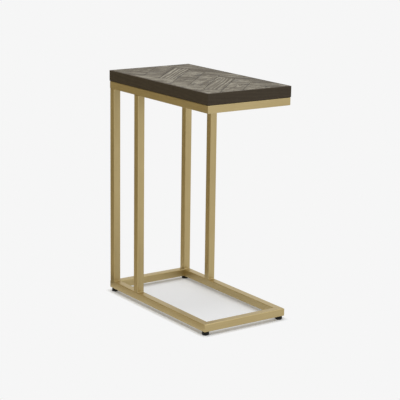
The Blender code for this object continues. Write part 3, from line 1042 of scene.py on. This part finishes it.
def screw_head_rings(centre, low, radius):
    """Rings of a pan head seen from below: a flat dome with a cross sunk into it.

    The cross is where either coordinate is smaller than the arm's half width and the other is within
    the arm's length; its depth runs out towards the arm's end. The rings lie closer over the cross.
    """
    share = np.concatenate([np.linspace(*run) for run in SCREW_HEAD_SHARES])[:, None]
    angle = np.linspace(0, 2 * np.pi, SCREW_STEPS, endpoint=False)
    x, y = np.abs(share * radius * np.cos(angle)), np.abs(share * radius * np.sin(angle))
    wall = np.clip((RECESS_WIDTH - np.minimum(x, y)) / (RECESS_WALL * RECESS_WIDTH), 0, 1)
    run = np.clip((RECESS_ARM - np.maximum(x, y)) / (RECESS_RUN * RECESS_ARM), 0, 1)
    height = low + SCREW_HEAD_CROWN * share ** 4 + RECESS_DEPTH * wall * run
    return swept_rings(centre, share * radius, height, SCREW_STEPS)


for corner in CORNERS:
    low, high = box_round(f"top_screw_{corner}")
    centre = (low + high)[:2] / 2
    head_radius = (high[0] - low[0]) / 2
    seat = low[2] + SCREW_HEAD_HEIGHT
    rim_profile = [(head_radius, low[2] + SCREW_HEAD_RIM), (head_radius, seat), (SCREW_RADIUS, seat)]
    point_profile = [(SCREW_SHOULDER_RADIUS, high[2] - SCREW_SHOULDER), (SCREW_POINT_RADIUS, high[2])]
    shank = thread_rings(centre, seat + NUT_EASE, high[2] - SCREW_POINT, SCREW_RADIUS, SCREW_CORE_DEPTH,
                         SCREW_PITCH, SCREW_STEPS, rings_per_turn=10)
    screw_rings = np.concatenate((screw_head_rings(centre, low[2], head_radius),
                                  turned_rings(centre, rim_profile, SCREW_STEPS), shank,
                                  turned_rings(centre, point_profile, SCREW_STEPS)))
    screw = skin(f"pan_head_screw_{corner}", screw_rings, zinc_plate)
    belong(screw, "table", "zinc_hardware", f"top_screw_{corner}")

# Stage: a pale floor under the lowest foot, which keeps the soft shadow, lifted inside the ring by a
# painted glow, and passes into the plain background, a wide soft light overhead and a weaker one from
# the open end. A warm card that leans back beyond the left side and two pale ones beside the base are
# seen only in the metal: their colours are painted reflections that darken the gold's left and rear faces.
BACKGROUND = 0.922
AMBIENT = 0.55
FLOOR_RADIUS = 14.0
FLOOR_POINTS = 96
FLOOR_DROP = 0.0002
FLOOR_WHITE = (0.92, 0.935, 0.96)
SHADOW_REACH = (0.003, 0.0135)
INNER_GLOW = 0.32
CARD_ROUGHNESS = 0.9
CARD_OUT = np.array((-0.82, -0.572, 0))
CARD_PROFILE = np.array(((0.36, 0.006), (0.50, 0.04), (0.70, 0.19), (0.95, 0.50), (1.20, 1.0), (1.35, 1.6)))
CARD_HALF_WIDTH = 0.9
# Painted reflection: the warm card's tones, by height, set how dark the gold's left faces look where they
# reflect it.
CARD_TONES = ((0.0, (0.58, 0.52, 0.39)), (0.13, (0.44, 0.39, 0.275)), (0.27, (0.385, 0.335, 0.22)),
              (0.40, (0.46, 0.41, 0.29)), (0.8, (0.30, 0.255, 0.145)))
# Painted reflection: the pale cards darken the floor that the base's left and rear faces reflect.
PALE_CARD = (0.66, 0.60, 0.46)
PALE_CARD_HEIGHT = 0.004
PALE_CARD_SIDES = {"left_card": ((-0.45, 0.40), (-0.26, -0.152)),
                   "rear_card": ((-0.70, -0.26), (-0.20, 0.05))}


def rays_that_see(tree):
    """1 for the rays that show the background, to the camera or in a reflection, and 0 for the rest."""
    kinds = node(tree, "LightPath").outputs
    seen = maths(tree, "ADD", kinds["Is Camera Ray"], kinds["Is Glossy Ray"], clamp=True)
    return maths(tree, "ADD", seen, kinds["Is Transmission Ray"], clamp=True)


def floor_finish():
    """Matt white near the table and the background's own level further out; clear from below.

    How far out a place lies is its distance from the base ring's outline, by how far it is past the
    ring's half sizes. Inside the ring a share of the background's level glows on top of the white, a
    painted light that lifts the table's shadow there.
    """
    made, tree, _ = new_material("pale_floor")
    tree.nodes.clear()
    place = vector_maths(tree, "ABSOLUTE", object_place(tree))
    past = vector_maths(tree, "SUBTRACT", place, (*base_high[:2], 0))
    sides = node(tree, "SeparateXYZ", {0: past}).outputs
    inwards = climb(tree, maths(tree, "MAXIMUM", sides["X"], sides["Y"]), 0, -tube_side)
    distance = vector_maths(tree, "LENGTH", vector_maths(tree, "MAXIMUM", past))
    outwards = climb(tree, distance, *SHADOW_REACH, kind="SMOOTHSTEP")
    # Painted light: inside the ring the floor glows with a share of the background's level, which lifts the
    # shadow under the table.
    share = maths(tree, "ADD", outwards, scaled(tree, inwards, INNER_GLOW))
    share = scaled(tree, share, rays_that_see(tree))
    paper = node(tree, "BsdfDiffuse", {"Color": (*FLOOR_WHITE, 1)}).outputs[0]
    glow = node(tree, "Emission", {"Color": (1, 1, 1, 1), "Strength": BACKGROUND}).outputs[0]
    front = node(tree, "MixShader", {0: share, 1: paper, 2: glow}).outputs[0]
    clear = node(tree, "BsdfTransparent").outputs[0]
    behind = node(tree, "NewGeometry").outputs["Backfacing"]
    both = node(tree, "MixShader", {0: behind, 1: front, 2: clear}).outputs[0]
    tree.links.new(both, tree.nodes.new("ShaderNodeOutputMaterial").inputs["Surface"])
    return made


def stage_sheet(name, points, faces, finish):
    """A thin stage piece of these points and faces, with this finish."""
    mesh = mesh_of(name, points, faces)
    mesh.materials.append(finish)
    piece = add_object(name, mesh)
    return piece


floor_rim = swept_rings((0, 0), FLOOR_RADIUS, -FLOOR_DROP, FLOOR_POINTS)
floor = stage_sheet("floor", floor_rim, [list(range(FLOOR_POINTS))], floor_finish())
for corner in CORNERS:
    below_foot = floor.constraints.new("FLOOR")
    below_foot.target = frame["bodies"][f"stud_{corner}"]
    below_foot.floor_location = "FLOOR_NEGATIVE_Z"

warm_card, card_tree, card_shader = new_material("warm_card")
card_height = node(card_tree, "SeparateXYZ", {0: object_place(card_tree)}).outputs["Z"]
card_tree.links.new(ramp(card_tree, card_height, CARD_TONES), card_shader.inputs["Base Color"])
card_shader.inputs["Roughness"].default_value = CARD_ROUGHNESS
card_run = np.cross(UP, CARD_OUT) * CARD_HALF_WIDTH
card_middle = CARD_PROFILE[:, :1] * CARD_OUT + CARD_PROFILE[:, 1:] * UP
card_points = np.concatenate((card_middle - card_run, card_middle + card_run))
card_count = len(CARD_PROFILE)
card_faces = [(row, row + 1, row + 1 + card_count, row + card_count) for row in range(card_count - 1)]
stage_sheet("warm_card", card_points, card_faces, warm_card).visible_camera = False

pale_card, _, pale_shader = new_material("pale_card")
pale_shader.inputs["Base Color"].default_value = (*PALE_CARD, 1)
pale_shader.inputs["Roughness"].default_value = CARD_ROUGHNESS
for name, ((left, right), (near, far)) in PALE_CARD_SIDES.items():
    corners = np.array(((left, near, 0), (right, near, 0), (right, far, 0), (left, far, 0)))
    points = corners + PALE_CARD_HEIGHT * UP
    stage_sheet(name, points, [(0, 1, 2, 3)], pale_card).visible_camera = False

world = bpy.data.worlds.new("studio")
bpy.context.scene.world = world
world.use_nodes = True
sky = world.node_tree
sky.nodes.clear()
level = between(sky, rays_that_see(sky), AMBIENT, BACKGROUND)
backdrop = node(sky, "Background", {"Color": (1, 1, 1, 1), "Strength": level}).outputs[0]
sky.links.new(backdrop, sky.nodes.new("ShaderNodeOutputWorld").inputs["Surface"])


def set_axes(thing, sideways, upwards, backwards, place):
    """Turns an object to these three axes and puts it at a place."""
    thing.matrix_world = Matrix(np.column_stack((sideways, upwards, backwards))).to_4x4()
    thing.location = place


def soft_light(name, place, aim, size, power):
    """A square area light at a place, facing a point."""
    lamp = bpy.data.lights.new(name, "AREA")
    lamp.size = size
    lamp.energy = power
    backwards = np.array(place, float) - np.array(aim, float)
    backwards /= np.linalg.norm(backwards)
    sideways = np.cross((0, 1, 0), backwards)
    sideways /= np.linalg.norm(sideways)
    set_axes(add_object(name, lamp), sideways, np.cross(backwards, sideways), backwards, place)


soft_light("overhead_light", place=(0.0, -0.15, 2.1), aim=(0, 0, 0.3), size=1.7, power=28)
soft_light("open_end_light", place=(2.2, 0.6, 1.3), aim=(0, 0, 0.35), size=1.4, power=7)

# Camera: a long lens a little above the top, turned to the open end and the left side. Its place and
# its focal length, in pixels of a picture 400 wide, were fitted to the edges of the table.
AZIMUTH = math.radians(55.199)
ELEVATION = math.radians(13.528)
ROLL = math.radians(0.814)
DISTANCE = 3.5331
FOCAL_PIXELS = 1370.0
IMAGE_PIXELS = 400
SENSOR = 36.0
ASIDE = 0.0105
RAISED = -0.0173
back = np.array((math.sin(AZIMUTH) * math.cos(ELEVATION), -math.cos(AZIMUTH) * math.cos(ELEVATION),
                 math.sin(ELEVATION)))
right = np.array((math.cos(AZIMUTH), math.sin(AZIMUTH), 0))
upwards = np.cross(back, right)
place = UP * top_high[2] / 2 + back * DISTANCE + right * ASIDE + upwards * RAISED
camera_x = math.cos(ROLL) * right + math.sin(ROLL) * upwards
camera_y = math.cos(ROLL) * upwards - math.sin(ROLL) * right
lens = bpy.data.cameras.new("camera")
lens.sensor_width = SENSOR
lens.lens = FOCAL_PIXELS / IMAGE_PIXELS * SENSOR
camera = add_object("camera", lens)
set_axes(camera, camera_x, camera_y, back, place)
bpy.context.scene.camera = camera
bpy.context.scene.view_settings.view_transform = "Standard"
